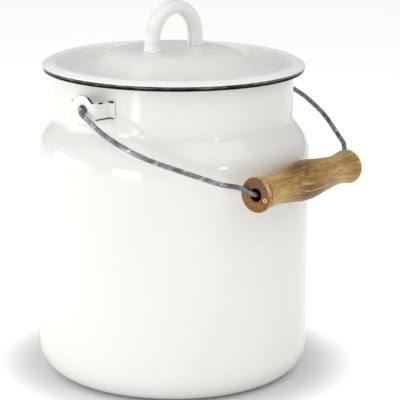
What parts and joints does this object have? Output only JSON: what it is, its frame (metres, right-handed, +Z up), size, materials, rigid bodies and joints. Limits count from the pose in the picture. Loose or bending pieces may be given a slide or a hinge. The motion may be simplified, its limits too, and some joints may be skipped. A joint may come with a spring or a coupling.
{
  "type": "milk pail",
  "caption": "Lidded enamelled steel milk pail with a stepped neck, welded ears, a swinging wire bail and a turned wooden grip.",
  "frame": {"origin": "centre of the flat base, on the pail's axis", "axes": "+Z up along the pail's axis; X along the bail's hinge line, from ear to ear; the stowed grip hangs on the -Y side"},
  "size_m": [0.2284, 0.2288, 0.2748],
  "materials": {
    "pail_enamel": "glossy vitreous enamel, white, black at the mouth bead",
    "ear_enamel": "glossy vitreous enamel, white, burnt black along the cut edges",
    "lid_enamel": "glossy vitreous enamel, white, black on the turned-in edge",
    "handle_enamel": "glossy vitreous enamel, white",
    "galvanised_wire": "dull galvanised",
    "turned_wood": "oiled, satin",
    "eyelet_copper": "worn copper plate"
  },
  "bodies": {
    "pail": {"pail_body": "pail_enamel", "ear_left": "ear_enamel", "ear_right": "ear_enamel"},
    "bail": {"bail_wire": "galvanised_wire"},
    "grip": {"wooden_grip": "turned_wood", "grip_eyelet": "eyelet_copper"},
    "lid": {"lid_shell": "lid_enamel", "lid_handle": "handle_enamel"}
  },
  "joints": [
    {"name": "bail_swing", "type": "hinge", "parent": "pail", "child": "bail", "pos_m": [0, 0, 0.208], "axis": [-1, 0, 0], "range_deg": [0, 227]},
    {"name": "grip_spin", "type": "hinge", "parent": "bail", "child": "grip", "pos_m": [0.0023, -0.11463, 0.15816], "axis": [1, 0, 0], "continuous": true},
    {"name": "lid_lift", "type": "slide", "parent": "pail", "child": "lid", "axis": [0, 0, 1], "range_m": [0, 0.09]}
  ]
}
